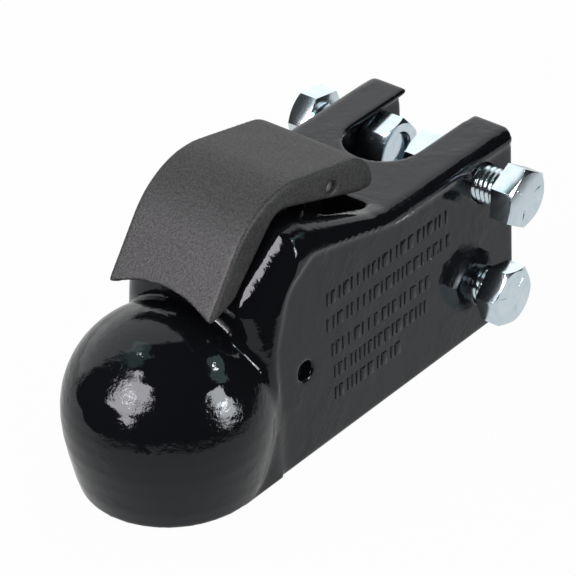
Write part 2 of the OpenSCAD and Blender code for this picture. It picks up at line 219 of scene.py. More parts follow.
def even_skin(obj: bpy.types.Object, voxel: float, rounds: int) -> None:
    """Rebuild a piece from small even faces and soften all its corners.

    Args:
        obj: The piece.
        voxel: The size of the new faces.
        rounds: How often it is smoothed.
    """
    merge_points(obj, WELD)
    apply_modifier(obj, "REMESH", mode="VOXEL", voxel_size=voxel, adaptivity=0.0)
    apply_modifier(obj, "SMOOTH", factor=SMOOTHING, iterations=rounds)


def ease_edges(obj: bpy.types.Object, edge: float) -> None:
    """Round the sharp edges of a piece.

    Args:
        obj: The piece.
        edge: How far the edges are drawn in.
    """
    apply_modifier(
        obj, "BEVEL", width=edge, segments=EDGE_SEGMENTS, limit_method="ANGLE",
        angle_limit=EDGE_ANGLE, use_clamp_overlap=True,
    )


def from_axis(at: Vector, centre: Vector) -> float:
    """Measure how far a point lies from a bolt's axis."""
    return math.hypot(at.y - centre.y, at.z - centre.z)


def ramp_up(value: float, low: float, high: float) -> float:
    """Follow a straight ramp from 0 at low to 1 at high."""
    return min(1.0, max(0.0, (value - low) / (high - low)))


def soften(obj: bpy.types.Object, degrees: float) -> None:
    """Shade smooth, with edges kept where faces meet at more than some degrees."""
    pick(obj)
    bpy.ops.object.shade_smooth_by_angle(angle=math.radians(degrees))


def drop_beyond(obj: bpy.types.Object, at: float, way: int) -> None:
    """Cut a piece square to X, drop its side towards way (1 or -1) and close the cut."""
    with whole_mesh(obj):
        bpy.ops.mesh.bisect(plane_co=(at, 0, 0), plane_no=(way, 0, 0), use_fill=True, clear_outer=True)


def rounded_block(size: Triple, edge: float, segments: int) -> bpy.types.Object:
    """Make a block with rounded edges.

    Args:
        size: Its three sides.
        edge: How far the edges are drawn in.
        segments: How many faces round an edge.

    Returns:
        The block, at the origin.
    """
    deselect_all()
    bpy.ops.mesh.primitive_cube_add(size=1, location=(0, 0, 0), scale=size)
    made = bpy.context.object
    settle(made)
    apply_modifier(made, "BEVEL", width=edge, segments=segments)
    return made


def outline(name: str, points: Sequence[Vector]) -> bpy.types.Object:
    """Draw a string of edges by extruding one point along a path.

    Args:
        name: The name of the object.
        points: The corners of the path in metres.

    Returns:
        The string of edges.
    """
    deselect_all()
    bpy.ops.mesh.primitive_plane_add(size=MM, location=points[0])
    made = bpy.context.object
    made.name = name
    settle(made)
    with whole_mesh(made):
        bpy.ops.mesh.merge(type="CENTER")
        for start, end in zip(points, points[1:]):
            bpy.ops.mesh.extrude_region_move(TRANSFORM_OT_translate={"value": end - start})
    return made


class Socket:
    """An output of a node, with the arithmetic that the finishes use."""

    def __init__(self, sheet: "Sheet", link: Any) -> None:
        """Keep the sheet and an output of one of its nodes."""
        self.sheet = sheet
        self.link = link

    def _maths(self, operation: str, *values: Any) -> "Socket":
        """Add one Math node for numbers or sockets."""
        return self.sheet.node("ShaderNodeMath", {"operation": operation}, dict(enumerate(values)))

    def __add__(self, other: Any) -> "Socket":
        """Add."""
        return self._maths("ADD", self, other)

    __radd__ = __add__

    def __sub__(self, other: Any) -> "Socket":
        """Subtract."""
        return self._maths("SUBTRACT", self, other)

    def __rsub__(self, other: Any) -> "Socket":
        """Subtract from a number."""
        return self._maths("SUBTRACT", other, self)

    def __mul__(self, other: Any) -> "Socket":
        """Multiply."""
        return self._maths("MULTIPLY", self, other)

    __rmul__ = __mul__

    def beside(self, name: str) -> "Socket":
        """Take another output of the same node."""
        return Socket(self.sheet, self.link.node.outputs[name])

    def step(self, low: float, high: float) -> "Socket":
        """Follow a smooth step.

        Args:
            low: Below this value the result is 0.
            high: Above this value the result is 1.

        Returns:
            A value from 0 to 1.
        """
        return self.sheet.node(
            "ShaderNodeMapRange", {"interpolation_type": "SMOOTHSTEP"},
            {"Value": self, "From Min": low, "From Max": high},
        )


@dataclass(frozen=True)
class Layer:
    """One layer of noise over a piece.

    Attributes:
        size: The size of its lumps in metres.
        detail: How many finer layers it has.
        roughness: How strong they are.
        depth: How deep it stands as relief, in metres.
    """

    size: float
    detail: float
    roughness: float = 0.5
    depth: float = 0.0


class Sheet:
    """The node tree of one material or world."""

    def __init__(self, material: Any, output: str = "ShaderNodeOutputMaterial",
                 place: str = "Object") -> None:
        """Empty a tree and give it an output node.

        Args:
            material: The material or world.
            output: The type of its output node.
            place: The coordinates that its noise follows.
        """
        self.material = material
        self.material.use_nodes = True
        self.tree = self.material.node_tree
        self.tree.nodes.clear()
        self.out = self.tree.nodes.new(output)
        self.place = self.node("ShaderNodeTexCoord", {}, {}, place)

    @classmethod
    def named(cls, name: str) -> "Sheet":
        """Make the sheet of a new material."""
        return cls(bpy.data.materials.new(name))

    def node(self, kind: str, settings: dict[str, Any], values: dict[Any, Any],
             output: Any = 0) -> Socket:
        """Add a node.

        Args:
            kind: The node's type.
            settings: Its settings, set before its sockets. A ramp's stops come under "stops".
            values: Numbers, colours or sockets by input name or index.
            output: The name or index of the output to return.

        Returns:
            That output.
        """
        made = self.tree.nodes.new(kind)
        for name, value in settings.items():
            if name == "stops":
                self.set_stops(made.color_ramp, value)
            else:
                setattr(made, name, value)
        for name, value in values.items():
            if isinstance(value, Socket):
                self.tree.links.new(value.link, made.inputs[name])
            else:
                made.inputs[name].default_value = value
        return Socket(self, made.outputs[output])

    @staticmethod
    def set_stops(bar: bpy.types.ColorRamp, stops: Sequence[tuple[float, Colour]]) -> None:
        """Set the places and colours of a ramp's two stops."""
        for element, (place, colour) in zip(bar.elements, stops):
            element.position, element.color = place, colour

    def ramp(self, value: Socket, places: tuple[float, float], *colours: Colour) -> Socket:
        """Colour a value by a ramp between two colours at two places."""
        return self.node("ShaderNodeValToRGB", {"stops": tuple(zip(places, colours))}, {0: value})

    def noise(self, layer: Layer) -> Socket:
        """Add a layer of noise, from 0 to 1.

        Args:
            layer: Its size and strength.

        Returns:
            The noise.
        """
        values = {
            "Vector": self.place, "Scale": 1 / layer.size, "Detail": layer.detail,
            "Roughness": layer.roughness,
        }
        return self.node("ShaderNodeTexNoise", {}, values)

    def cells(self, size: float) -> Socket:
        """Measure how far the nearest of a scatter of points is, in spacings of the scatter."""
        values = {"Vector": self.place, "Scale": 1 / size}
        return self.node("ShaderNodeTexVoronoi", {"feature": "F1"}, values, "Distance")

    def bump(self, height: Socket, depth: float, below: Socket | None = None) -> Socket:
        """Turn a height into a normal.

        Args:
            height: The height, from 0 to 1.
            depth: What a height of 1 stands for, in metres.
            below: A normal that this one is laid over.

        Returns:
            The normal.
        """
        values: dict[Any, Any] = {"Strength": 1.0, "Distance": depth, "Height": height}
        if below is not None:
            values["Normal"] = below
        return self.node("ShaderNodeBump", {}, values)

    def mix(self, share: Socket, first: Socket, second: Socket) -> Socket:
        """Blend two shaders by the share of the second."""
        return self.node("ShaderNodeMixShader", {}, {0: share, 1: first, 2: second})

    def shade(self, **values: Any) -> bpy.types.Material:
        """Finish with the general surface shader, its inputs named with underscores for spaces."""
        named = {name.replace("_", " "): value for name, value in values.items()}
        return self.finish(self.node("ShaderNodeBsdfPrincipled", {}, named))

    def finish(self, surface: Socket) -> Any:
        """Link the last shader to the output and hand back the material or world."""
        self.tree.links.new(surface.link, self.out.inputs["Surface"])
        return self.material


@dataclass(frozen=True)
class CastEnamel:
    """High-gloss black enamel over a rough casting.

    Attributes:
        colour: The colour of the enamel.
        gloss: How strongly it mirrors where it is seen square on.
        sheen: The tint of what it mirrors.
        rough: How dull it is at the least.
        lump_dull: How much duller the lumps are.
        patch_dull: How much duller the gritty patches are.
        lump: The lumps of the casting.
        peel: The ripple of the enamel.
        peel_share: The share of the ripple that is everywhere.
        peel_gain: The share of the ripple that the gritty patches add.
        grit: The sand marks of the gritty patches.
        patch: Where the gritty patches lie.
        patch_edge: Where a patch starts and where it is full.
        spot: The spacing of the raised specks.
        spot_edge: How far the top and the foot of a speck lie from its middle, in spacings.
        spot_share: How high a speck stands, as a share of the grit.
    """

    colour: Colour = (0.0075, 0.0080, 0.0100, 1)
    gloss: float = 0.36
    sheen: Colour = (0.92, 0.965, 1.0, 1)
    rough: float = 0.035
    lump_dull: float = 0.03
    patch_dull: float = 0.05
    lump: Layer = Layer(9 * MM, 2.0, depth=0.16 * MM)
    peel: Layer = Layer(2.4 * MM, 3.0, depth=0.14 * MM)
    peel_share: float = 0.40
    peel_gain: float = 0.90
    grit: Layer = Layer(0.8 * MM, 2.0, 0.6, 0.075 * MM)
    patch: Layer = Layer(22 * MM, 1.0)
    patch_edge: tuple[float, float] = (0.46, 0.62)
    spot: float = 5.5 * MM
    spot_edge: tuple[float, float] = (0.05, 0.14)
    spot_share: float = 0.5

    def build(self) -> bpy.types.Material:
        """Make the material.

        Returns:
            The material.
        """
        sheet = Sheet.named("cast_enamel")
        lumps, peel, grit = (sheet.noise(layer) for layer in (self.lump, self.peel, self.grit))
        patch = sheet.noise(self.patch).step(*self.patch_edge)
        spot = 1 - sheet.cells(self.spot).step(*self.spot_edge)
        normal = sheet.bump(lumps, self.lump.depth)
        normal = sheet.bump(peel * (self.peel_share + patch * self.peel_gain), self.peel.depth, normal)
        normal = sheet.bump(grit * patch + spot * self.spot_share, self.grit.depth, normal)
        rough = self.rough + lumps * self.lump_dull + patch * self.patch_dull
        return sheet.shade(
            Base_Color=self.colour, Roughness=rough, Normal=normal, Specular_IOR_Level=self.gloss,
            Specular_Tint=self.sheen,
        )


@dataclass(frozen=True)
class GrainedPlastic:
    """Matte black moulding with a fine spark-eroded grain, its colour painted darker in the grain's
    hollows and lighter on its tops, as shade and light would fall there.

    Attributes:
        dark: The colour of the painted shade in the grain's hollows.
        light: The colour of the painted light on the grain's tops.
        tones: Where along the grain the two colours lie.
        rough: How dull it is at the least.
        cloud_dull: How much duller the clouds are.
        grain: The grain.
        cloud: The slow change of tone.
        cloud_share: How much of the tone follows the clouds.
    """

    dark: Colour = (0.010, 0.0105, 0.0120, 1)
    light: Colour = (0.056, 0.056, 0.060, 1)
    tones: tuple[float, float] = (0.38, 0.62)
    rough: float = 0.50
    cloud_dull: float = 0.14
    grain: Layer = Layer(0.9 * MM, 2.0, 0.65, 0.24 * MM)
    cloud: Layer = Layer(16 * MM, 2.0)
    cloud_share: float = 0.08

    def build(self) -> bpy.types.Material:
        """Make the material.

        Returns:
            The material.
        """
        sheet = Sheet.named("grained_plastic")
        grain, cloud = sheet.noise(self.grain), sheet.noise(self.cloud)
        # Painted shade and light: the grain's height, which also drives the bump, darkens its hollows and
        # lightens its tops, with a little random cloud of tone mixed in.
        grain_shade_and_cloud = grain * (1 - self.cloud_share) + cloud * self.cloud_share
        return sheet.shade(
            Base_Color=sheet.ramp(grain_shade_and_cloud, self.tones, self.dark, self.light),
            Roughness=self.rough + cloud * self.cloud_dull,
            Normal=sheet.bump(grain, self.grain.depth),
        )


@dataclass(frozen=True)
class ZincPlate:
    """Bright zinc plating with a faint blue cast and rubbed marks.

    Attributes:
        cool: The colour of its bluer clouds.
        warm: The colour of its paler clouds.
        tones: Where along the clouds the two colours lie.
        rough: How dull it is at the least.
        scuff_dull: How much duller the rubbed marks are.
        cloud: The slow change of tone.
        wave: The waviness of the faces.
        scuff: The rubbed marks.
    """

    cool: Colour = (0.67, 0.80, 0.87, 1)
    warm: Colour = (0.77, 0.87, 0.92, 1)
    tones: tuple[float, float] = (0.35, 0.65)
    rough: float = 0.13
    scuff_dull: float = 0.10
    cloud: Layer = Layer(6 * MM, 3.0)
    wave: Layer = Layer(4 * MM, 1.0, depth=0.02 * MM)
    scuff: Layer = Layer(0.9 * MM, 3.0, 0.6, 0.003 * MM)

    def build(self) -> bpy.types.Material:
        """Make the material.

        Returns:
            The material.
        """
        sheet = Sheet.named("zinc_plate")
        scuff = sheet.noise(self.scuff)
        normal = sheet.bump(sheet.noise(self.wave), self.wave.depth)
        return sheet.shade(
            Base_Color=sheet.ramp(sheet.noise(self.cloud), self.tones, self.cool, self.warm),
            Metallic=1.0,
            Roughness=self.rough + scuff * self.scuff_dull,
            Normal=sheet.bump(scuff, self.scuff.depth, normal),
        )


@dataclass(frozen=True)
class BareSteel:
    """Machined steel with a film of oil.

    Attributes:
        dark: The colour of its stains.
        light: The colour between them.
        tones: Where along the stains the two colours lie.
        rough: How dull it is at the least.
        stain_dull: How much duller the pale clouds are.
        stain: The stains.
        scratch: The fine tool marks.
    """

    dark: Colour = (0.24, 0.235, 0.23, 1)
    light: Colour = (0.42, 0.42, 0.43, 1)
    tones: tuple[float, float] = (0.3, 0.65)
    rough: float = 0.3
    stain_dull: float = 0.2
    stain: Layer = Layer(9 * MM, 4.0, 0.6)
    scratch: Layer = Layer(0.5 * MM, 2.0, depth=0.008 * MM)

    def build(self) -> bpy.types.Material:
        """Make the material.

        Returns:
            The material.
        """
        sheet = Sheet.named("bare_steel")
        stain = sheet.noise(self.stain)
        return sheet.shade(
            Base_Color=sheet.ramp(stain, self.tones, self.dark, self.light),
            Metallic=1.0,
            Roughness=self.rough + stain * self.stain_dull,
            Normal=sheet.bump(sheet.noise(self.scratch), self.scratch.depth),
        )


def dress(obj: bpy.types.Object, material: bpy.types.Material) -> None:
    """Give a piece its one material."""
    obj.data.materials.clear()
    obj.data.materials.append(material)


def stand_for(piece: bpy.types.Object, node: str, body: Body) -> bpy.types.Object:
    """Let a piece of the scene take the place of a node.

    Args:
        piece: The piece.
        node: The node that it stands for.
        body: The body that it rides.

    Returns:
        The piece.
    """
    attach(piece, body.value)
    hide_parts(node)
    return piece


@dataclass
class CastHousing:
    """The casting, with the soft corners that sand and paint leave.

    Attributes:
        nodes: The nodes of the frame by name.
        finish: Its material.
        voxel: The size of its new faces.
        rounds: How often all of it is smoothed.
        most_faces: How many faces it may have.
        valley: Points in millimetres along the valley, on the near side; the far side mirrors it.
        valley_core: How near to those points all of the corner melts.
        valley_reach: How far from them the melting ends.
        valley_rounds: How often the valley is smoothed.
        valley_rear: How far back the valley goes.
        valley_top: Where it ends above.
        valley_foot: Where it ends below.
        ear_from: How far back the face of the cheek is measured.
        ear_end_y: Where the rounding of the rear end of an ear starts.
        ear_end_z: How high on the ear the rounding starts.
        ear_end_fade: Over what length it comes in.
        ear_end_rounds: How often the rear end is smoothed.
        seed: The seed of the rows of bars.
        rows: The height, the start and the end of each row of bars.
        bar_widths: The widths that a bar is drawn from.
        bar_gaps: The gaps that are drawn from.
        bar_high: How high a bar is.
        bar_proud: How far a bar stands off the cheek.
        bar_edge: How far its edges are drawn in.
        bar_segments: How many faces round its edges.
    """

    nodes: dict[str, bpy.types.Object]
    finish: bpy.types.Material
    voxel: float = 1.0 * MM
    rounds: int = 6
    most_faces: int = 88000
    valley: tuple[Triple, ...] = (
        (0, 15.6, 40.4), (8, 15.5, 39.8), (15.4, 14.9, 37.9), (23.1, 13.2, 34.4), (29.5, 12.7, 29.3),
        (33.8, 12.2, 24.5), (37.4, 11.6, 19.0), (38.0, 14.0, 12.0), (38.0, 17.0, 4.0),
        (37.6, 22.5, -6.0), (37.6, 23.0, -13.0), (37.6, 23.0, -20.0), (37.6, 23.0, -27.0),
    )
    valley_core: float = 3.5 * MM
    valley_reach: float = 9 * MM
    valley_rounds: int = 44
    valley_rear: float = 32 * MM
    valley_top: float = 52 * MM
    valley_foot: float = -32 * MM
    ear_from: float = 150 * MM
    ear_end_y: float = 169 * MM
    ear_end_z: float = 46 * MM
    ear_end_fade: float = 3 * MM
    ear_end_rounds: int = 16
    seed: int = 7
    rows: tuple[Triple, ...] = (
        (34.5 * MM, 55 * MM, 133.5 * MM), (22.5 * MM, 54.5 * MM, 133 * MM),
        (9.5 * MM, 57 * MM, 118 * MM), (-1.5 * MM, 58 * MM, 119 * MM), (-12 * MM, 58 * MM, 97 * MM),
    )
    bar_widths: tuple[float, ...] = (1.3 * MM, 1.3 * MM, 1.3 * MM, 2.4 * MM, 3.4 * MM)
    bar_gaps: tuple[float, ...] = (1.5 * MM, 1.5 * MM, 2.6 * MM)
    bar_high: float = 6.0 * MM
    bar_proud: float = 0.42 * MM
    bar_edge: float = 0.32 * MM
    bar_segments: int = 3

    def build(self) -> bpy.types.Object:
        """Make the dressed casting.

        Returns:
            The piece.
        """
        cast = copy_of(self.nodes["housing"], "cast_housing")
        even_skin(cast, self.voxel, self.rounds)
        smooth_near(cast, self.valley_share, self.valley_rounds)
        smooth_near(cast, self.ear_end_share, self.ear_end_rounds)
        ratio = self.most_faces / max(len(cast.data.polygons), 1)
        if ratio < 1:
            apply_modifier(cast, "DECIMATE", ratio=ratio)
        cast = join([cast, *self.cast_bars()], "cast_housing")
        soften(cast, ALL_SMOOTH)
        dress(cast, self.finish)
        return stand_for(cast, "housing", Body.CASTING)

    def valley_share(self, at: Vector) -> float:
        """Measure how much a point lies in the valley between the dome and the nose.

        Args:
            at: The point.

        Returns:
            A share from 0 to 1.
        """
        if at.y > self.valley_rear or at.z > self.valley_top or at.z < self.valley_foot:
            return 0.0
        near = Vector((abs(at.x), at.y, at.z))
        away = min((near - Vector(point) * MM).length for point in self.valley)
        return 1 - ramp_up(away, self.valley_core, self.valley_reach)

    def ear_end_share(self, at: Vector) -> float:
        """Measure how much a point lies on the upper rear end of an ear, from 0 to 1."""
        back = ramp_up(at.y, self.ear_end_y, self.ear_end_y + self.ear_end_fade)
        return back * ramp_up(at.z, self.ear_end_z, self.ear_end_z + self.ear_end_fade)

    def cast_bars(self) -> list[bpy.types.Object]:
        """Raise rows of plain bars on the near cheek.

        Returns:
            The bars.
        """
        draw = random.Random(self.seed)
        points = [vertex.co for vertex in self.nodes["housing"].data.vertices]
        face = max(at.x for at in points if at.y > self.ear_from and at.z < 0)
        patterns = {width: self.bar(width) for width in sorted(set(self.bar_widths))}
        made = []
        for height, start, end in self.rows:
            y = start
            while y < end:
                width = draw.choice(self.bar_widths)
                bar = copy_of(patterns[width], "cast_bar")
                bar.location = (face, y + width / 2, height)
                settle(bar)
                made.append(bar)
                y += width + draw.choice(self.bar_gaps)
        for pattern in patterns.values():
            bpy.data.objects.remove(pattern)
        return made

    def bar(self, width: float) -> bpy.types.Object:
        """Make one bar with rounded edges, at the origin."""
        return rounded_block((2 * self.bar_proud, width, self.bar_high), self.bar_edge, self.bar_segments)


@dataclass
class HandleCover:
    """The moulded cover of the handle, with its rounded edges.

    Attributes:
        nodes: The nodes of the frame by name.
        finish: Its material.
        voxel: The size of its new faces.
        rounds: How often all of it is smoothed.
        edge_rounds: How often its side edges are smoothed.
        edge_from: How far in from a side their rounding starts.
        edge_full: How far in from a side it is full.
    """

    nodes: dict[str, bpy.types.Object]
    finish: bpy.types.Material
    voxel: float = 0.62 * MM
    rounds: int = 2
    edge_rounds: int = 26
    edge_from: float = 5.0 * MM
    edge_full: float = 1.5 * MM

    def build(self) -> bpy.types.Object:
        """Make the dressed cover.

        Returns:
            The piece.
        """
        _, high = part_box("handle_cover")
        cover = copy_of(self.nodes["handle_cover"], "moulded_cover")
        even_skin(cover, self.voxel, self.rounds)

        def side_share(at: Vector) -> float:
            """Measure how near a point lies to a side of the cover, from 0 to 1."""
            return ramp_up(abs(at.x), high.x - self.edge_from, high.x - self.edge_full)

        smooth_near(cover, side_share, self.edge_rounds)
        soften(cover, ALL_SMOOTH)
        dress(cover, self.finish)
        return stand_for(cover, "handle_cover", Body.HANDLE)


def eased(node: bpy.types.Object, name: str, edge: float) -> bpy.types.Object:
    """Copy a node and ease its sharp edges.

    Args:
        node: The node to copy.
        name: The name of the copy.
        edge: How far the edges are drawn in.

    Returns:
        The copy.
    """
    made = copy_of(node, name)
    merge_points(made, FINE_WELD)
    ease_edges(made, edge)
    return made


@dataclass
class Latch:
    """The steel and plated pieces inside: spring, lever, wedge, jaw, pins, clips, spacers and screws.

    Attributes:
        nodes: The nodes of the frame by name.
        zinc: The material of the plated pieces.
        steel: The material of the steel pieces.
        edge: How far their edges are drawn in.
        crease: The angle in degrees past which their edges look sharp.
        spring_crease: The same angle for the spring.
        spring_keep: The share of the spring's height meant to be left when the handle is up; not used.
        steel_pieces: The nodes in steel, each with its body.
        zinc_pieces: The plated nodes, each with its body.
    """

    nodes: dict[str, bpy.types.Object]
    zinc: bpy.types.Material
    steel: bpy.types.Material
    edge: float = 0.25 * MM
    crease: float = 32.0
    spring_crease: float = 60.0
    spring_keep: float = 0.44
    steel_pieces: tuple[tuple[str, Body], ...] = (
        ("handle_lever", Body.HANDLE), ("jaw", Body.JAW), ("lock_wedge", Body.WEDGE),
        ("handle_pin", Body.CASTING), ("jaw_pin", Body.CASTING),
    )
    zinc_pieces: tuple[tuple[str, Body], ...] = (
        ("left_pin_clip", Body.CASTING), ("right_pin_clip", Body.CASTING),
        ("left_spacer", Body.CASTING), ("right_spacer", Body.CASTING),
        ("cover_screws", Body.HANDLE), ("wedge_pin", Body.WEDGE),
    )

    def build(self) -> list[bpy.types.Object]:
        """Make every piece of the latch.

        Returns:
            The pieces.
        """
        made = [self.spring()]
        made += [self.piece(name, body, self.steel, Slot.STEEL) for name, body in self.steel_pieces]
        made += [self.piece(name, body, self.zinc, Slot.ZINC) for name, body in self.zinc_pieces]
        return made

    def spring(self) -> bpy.types.Object:
        """Make the return spring, with a mesh of its own.

        Returns:
            The spring.
        """
        made = copy_of(self.nodes["handle_spring"], "coil_spring")
        merge_points(made, FINE_WELD)
        dress(made, self.steel)
        soften(made, self.spring_crease)
        stand_for(made, "handle_spring", Body.CASTING)
        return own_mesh(made)

    def piece(self, node: str, body: Body, finish: bpy.types.Material,
              slot: Slot) -> bpy.types.Object:
        """Ease the edges of one piece and dress it.

        Args:
            node: The node it stands for.
            body: The body it rides.
            finish: Its material.
            slot: The slot of its finish; not used.

        Returns:
            The piece.
        """
        made = eased(self.nodes[node], "eased_" + node, self.edge)
        dress(made, finish)
        soften(made, self.crease)
        return stand_for(made, node, body)


@dataclass
class Fasteners:
    """Threaded bolts with marked heads, nuts and split washers.

    Attributes:
        nodes: The nodes of the frame by name.
        finish: Their material.
        pitch: The length of one turn of the thread.
        crest_share: The width of a crest and of a root, as a share of the pitch.
        depth_share: The depth of the thread, as a share of the pitch.
        sides: How many faces go round one turn.
        spare_turns: How many turns are wound past each end, to be cut off.
        turn_weld: How near the ends of two turns are to be merged.
        thread_weld: How near the points of a thread are to be merged.
        lead: How long the lead-in of a tip is.
        edge: How far edges are drawn in.
        crease: The angle in degrees past which edges look sharp.
        head_zone: How far from the axis only the head reaches, as a share of its height.
        shank_from: How far from the head the shank is measured.
        seat_margin: How far past its underside a head is cut off.
        thread_bury: How far the thread runs into the head.
        mark_size: The three sides of a mark.
        mark_reach: How far a mark lies from the axis.
        mark_edge: How far its edges are drawn in.
        mark_segments: How many faces round its edges.
        mark_turns: How far round from the first the marks lie, in degrees.
        bolts: The bolts, each with the turn of its marks in degrees.
        rings: The washers and the nuts.
    """

    nodes: dict[str, bpy.types.Object]
    finish: bpy.types.Material
    pitch: float = 2.309 * MM
    crest_share: float = 0.2
    depth_share: float = 0.46
    sides: int = 28
    spare_turns: int = 2
    turn_weld: float = 0.002 * MM
    thread_weld: float = 0.004 * MM
    lead: float = 1.4 * MM
    edge: float = 0.28 * MM
    crease: float = 34.0
    head_zone: float = 0.4
    shank_from: float = 5 * MM
    seat_margin: float = 0.02 * MM
    thread_bury: float = 0.4 * MM
    mark_size: Triple = (0.36 * MM, 4.2 * MM, 0.8 * MM)
    mark_reach: float = 7.2 * MM
    mark_edge: float = 0.15 * MM
    mark_segments: int = 2
    mark_turns: tuple[float, ...] = (0.0, 120.0, 240.0)
    bolts: tuple[tuple[str, float], ...] = (
        ("upper_bolt", 12.0), ("lower_bolt", 42.0), ("far_upper_bolt", 95.0), ("far_lower_bolt", 70.0),
    )
    rings: tuple[str, ...] = (
        "upper_lock_washer", "lower_lock_washer", "upper_nut", "lower_nut", "far_upper_nut",
        "far_lower_nut",
    )

    def build(self) -> list[bpy.types.Object]:
        """Make every fastener of the ears.

        Returns:
            The pieces.
        """
        made = [self.bolt(name, turn) for name, turn in self.bolts]
        for name in self.rings:
            made.append(self.finished(eased(self.nodes[name], "plated_" + name, self.edge), name))
        return made

    def finished(self, piece: bpy.types.Object, node: str) -> bpy.types.Object:
        """Dress a piece and let it stand for its node.

        Args:
            piece: The piece.
            node: The node it stands for.

        Returns:
            The piece.
        """
        dress(piece, self.finish)
        soften(piece, self.crease)
        return stand_for(piece, node, Body.CASTING)

    def bolt(self, node: str, turn: float) -> bpy.types.Object:
        """Make one bolt: the head of the node, a cut thread and three marks.

        Args:
            node: The node of the bolt.
            turn: Turn of the marks in degrees.

        Returns:
            The bolt.
        """
        low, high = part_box(node)
        side = 1 if low.x + high.x > 0 else -1
        tip, face = sorted((low.x * side, high.x * side))
        centre = Vector((0, (low.y + high.y) / 2, (low.z + high.z) / 2))
        seat = self.head_seat(node, side)
        radius = self.shank_radius(node, side, seat, centre)
        head = copy_of(self.nodes[node], "plated_" + node)
        merge_points(head, FINE_WELD)
        drop_beyond(head, side * (seat + self.seat_margin), -side)
        ease_edges(head, self.edge)
        added = [self.thread(node, centre, radius, tip, seat + self.thread_bury)]
        added += self.marks(centre, face, turn)
        if side < 0:
            about = Matrix.Translation(centre) @ Matrix.Rotation(math.pi, 4, "Z")
            for part in added:
                part.matrix_world = about @ Matrix.Translation(-centre) @ part.matrix_world
                settle(part)
        return self.finished(join([head, *added], head.name), node)

    def head_seat(self, node: str, side: int) -> float:
        """Measure how far out the underside of a head lies.

        Args:
            node: The node of the bolt.
            side: 1 where the head is on the right, -1 where it is on the left.

        Returns:
            The distance from the middle plane.
        """
        low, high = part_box(node)
        reach = (high.z - low.z) * self.head_zone
        middle = (high.z + low.z) / 2
        points = [vertex.co for vertex in self.nodes[node].data.vertices]
        return min(at.x * side for at in points if abs(at.z - middle) > reach)

    def shank_radius(self, node: str, side: int, seat: float, centre: Vector) -> float:
        """Measure the radius of a bolt's shank."""
        points = [vertex.co for vertex in self.nodes[node].data.vertices]
        return max(from_axis(at, centre) for at in points if at.x * side < seat - self.shank_from)

    def thread(self, node: str, centre: Vector, radius: float, tip: float,
               end: float) -> bpy.types.Object:
        """Wind the thread along the shank.

        Args:
            node: The node of the bolt, for the name.
            centre: The axis.
            radius: Outer radius.
            tip: Where the bolt ends.
            end: Where the thread runs into the head.

        Returns:
            The threaded shank, closed at both ends.
        """
        root = radius - self.depth_share * self.pitch
        flat = self.crest_share * self.pitch
        slope = (self.pitch - 2 * flat) / 2
        path = (
            (0, root), (flat, root), (flat + slope, radius), (2 * flat + slope, radius),
            (self.pitch, root),
        )
        start = tip - self.spare_turns * self.pitch
        shank = outline(
            node + "_thread", [Vector((start + along, centre.y, centre.z + out)) for along, out in path]
        )
        pick(shank)
        bpy.context.scene.cursor.location = (start, centre.y, centre.z)
        bpy.ops.object.origin_set(type="ORIGIN_CURSOR")
        turns = math.ceil((end - start) / self.pitch) + self.spare_turns
        apply_modifier(
            shank, "SCREW", axis="X", angle=math.tau, screw_offset=self.pitch, iterations=turns,
            steps=self.sides, render_steps=self.sides, use_merge_vertices=True,
            merge_threshold=self.turn_weld,
        )
        settle(shank)
        merge_points(shank, self.thread_weld)
        drop_beyond(shank, tip, -1)
        drop_beyond(shank, end, 1)
        self.point(shank, centre, radius, tip)
        merge_points(shank, self.thread_weld)
        return shank

    def point(self, shank: bpy.types.Object, centre: Vector, radius: float, tip: float) -> None:
        """Draw in the first turn of a thread to the lead-in that a bolt's tip has.

        Args:
            shank: The threaded shank.
            centre: The axis.
            radius: Outer radius.
            tip: Where the bolt ends.
        """
        for vertex in shank.data.vertices:
            beyond = self.lead - (vertex.co.x - tip)
            out = from_axis(vertex.co, centre)
            limit = radius - beyond
            if beyond > 0 and out > limit:
                vertex.co.y = centre.y + (vertex.co.y - centre.y) * limit / out
                vertex.co.z = centre.z + (vertex.co.z - centre.z) * limit / out

    def marks(self, centre: Vector, face_x: float, turn: float) -> list[bpy.types.Object]:
        """Raise radial marks on the face of a head.

        Args:
            centre: The axis.
            face_x: Where the face lies.
            turn: Turn of the first mark in degrees.

        Returns:
            The marks.
        """
        made = []
        for further in self.mark_turns:
            angle = math.radians(turn + further)
            mark = rounded_block(self.mark_size, self.mark_edge, self.mark_segments)
            mark.rotation_euler.x = angle
            away = Vector((0, math.cos(angle), math.sin(angle))) * self.mark_reach
            mark.location = Vector((face_x, centre.y, centre.z)) + away
            settle(mark)
            made.append(mark)
        return made


@dataclass(frozen=True)
class Lamp:
    """One soft box, aimed at the object.

    Attributes:
        name: Its name.
        way: The direction from the object to it.
        size: Its width and height in metres.
        radiance: How bright its face is, where the white floor is 1.
        turn: Turn of its face in degrees.
        colour: The colour of its light.
        away: How far it hangs from the object, in metres.
        only_gloss: Whether it is only mirrored, or else only lights.
    """

    name: str
    way: Triple
    size: tuple[float, float]
    radiance: float
    turn: float = 0.0
    colour: Triple = (1.0, 1.0, 1.0)
    away: float = 1.0
    only_gloss: bool = True

    def hang(self, target: Vector) -> None:
        """Hang the lamp.

        Args:
            target: The point that it is aimed at.
        """
        data = bpy.data.lights.new(self.name, "AREA")
        data.shape = "RECTANGLE"
        data.size, data.size_y = self.size
        data.energy = self.radiance * math.pi * data.size * data.size_y
        data.color = self.colour
        lamp = bpy.data.objects.new(self.name, data)
        heading = Vector(self.way).normalized()
        lamp.location = target + heading * self.away
        facing = (-heading).to_track_quat("-Z", "Y") @ Quaternion((0, 0, 1), math.radians(self.turn))
        lamp.rotation_euler = facing.to_euler()
        lamp.visible_diffuse = not self.only_gloss
        lamp.visible_glossy = self.only_gloss
        bpy.context.scene.collection.objects.link(lamp)


